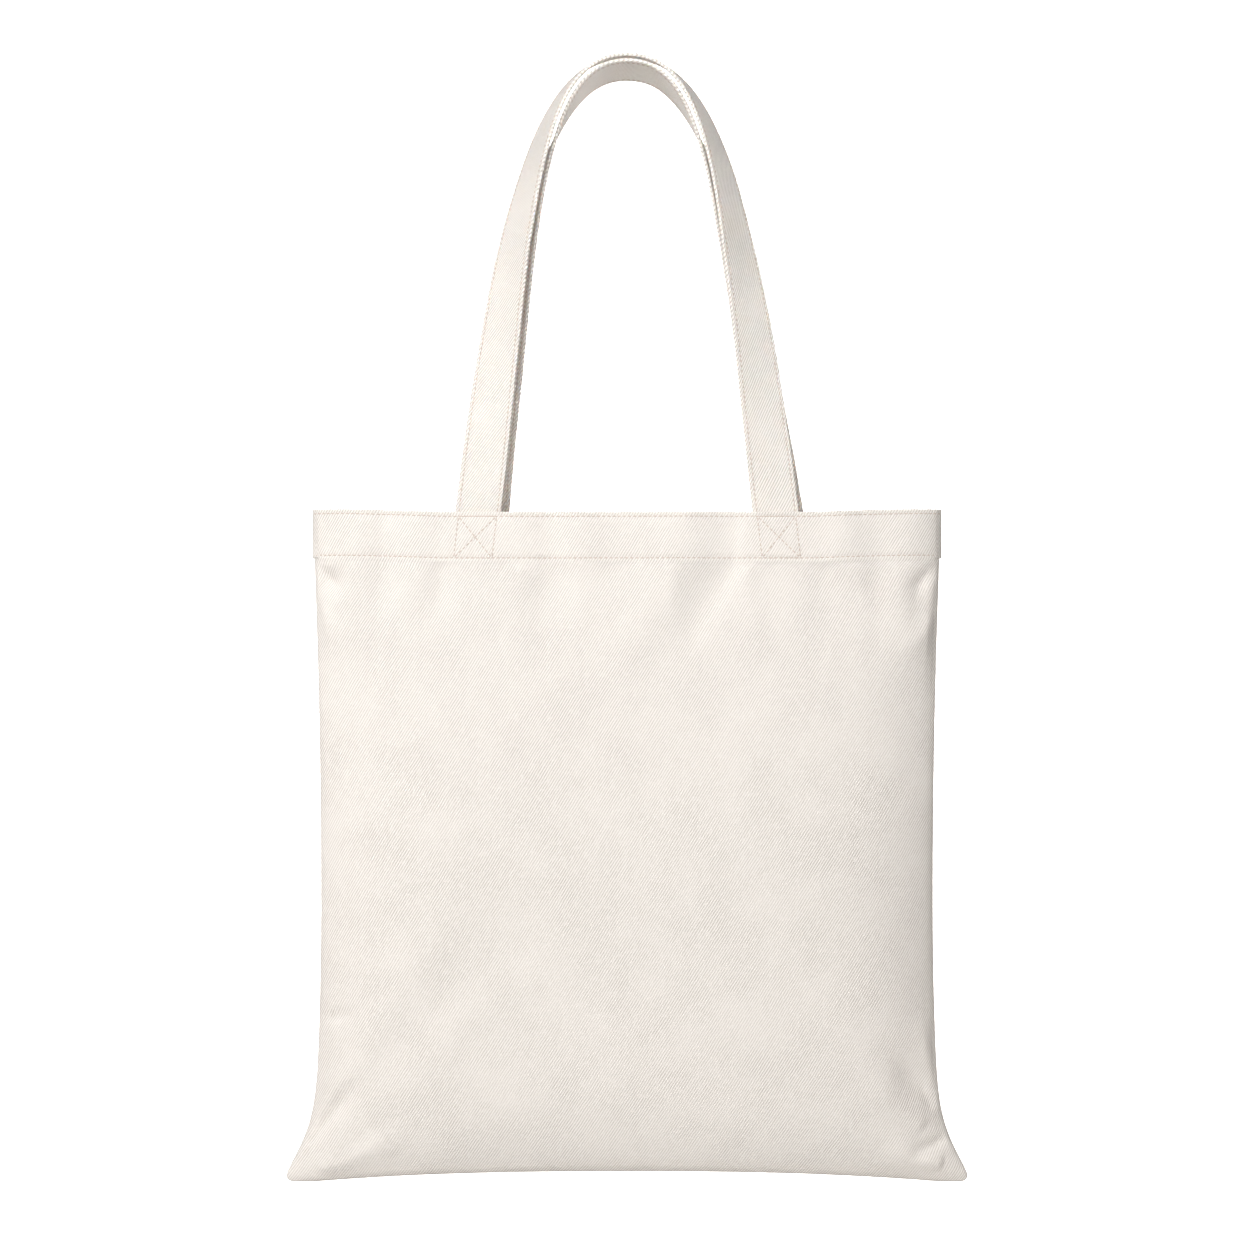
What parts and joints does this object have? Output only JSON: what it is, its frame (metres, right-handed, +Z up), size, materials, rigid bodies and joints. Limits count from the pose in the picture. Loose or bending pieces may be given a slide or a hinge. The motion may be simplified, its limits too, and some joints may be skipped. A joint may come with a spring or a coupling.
{
  "type": "canvas tote bag",
  "caption": "Flat canvas tote bag with a turned-in hem and long strap handles that fold down over the front and the back.",
  "frame": {"origin": "where a hook or a hand carries the bag: under the top of the handles' arch, in the middle of the bag's depth", "axes": "+Z up along the handles, front panel towards -Y, +X to the right seen from the front"},
  "size_m": [0.411, 0.0458, 0.6835],
  "materials": {
    "canvas": "undyed cotton twill canvas, matte",
    "strap_canvas": "undyed cotton twill canvas, folded and pressed",
    "thread": "cotton sewing thread, matte",
    "overlock_thread": "soft overlock thread, matte"
  },
  "bodies": {
    "bag": {"front_panel": "canvas", "back_panel": "canvas", "left_seam_allowance": "canvas", "right_seam_allowance": "canvas", "bottom_seam_allowance": "canvas", "left_seam_stitching": "thread", "right_seam_stitching": "thread", "bottom_seam_stitching": "thread", "left_overlock": "overlock_thread", "right_overlock": "overlock_thread", "bottom_overlock": "overlock_thread", "mouth_topstitching": "thread", "hem_stitching": "thread", "front_left_strap_end": "strap_canvas", "front_right_strap_end": "strap_canvas", "back_left_strap_end": "strap_canvas", "back_right_strap_end": "strap_canvas", "front_left_cross_stitch": "thread", "front_right_cross_stitch": "thread", "back_left_cross_stitch": "thread", "back_right_cross_stitch": "thread"},
    "front_handle": {"front_handle": "strap_canvas", "front_handle_inner_stitching": "thread", "front_handle_outer_stitching": "thread"},
    "back_handle": {"back_handle": "strap_canvas", "back_handle_inner_stitching": "thread", "back_handle_outer_stitching": "thread"}
  },
  "joints": [
    {"name": "front_handle_fold", "type": "hinge", "parent": "bag", "child": "front_handle", "pos_m": [0, -0.0116, -0.26652], "axis": [1, 0, 0], "range_deg": [0, 165]},
    {"name": "back_handle_fold", "type": "hinge", "parent": "bag", "child": "back_handle", "pos_m": [0, 0.0116, -0.26652], "axis": [-1, 0, 0], "range_deg": [0, 165]}
  ]
}
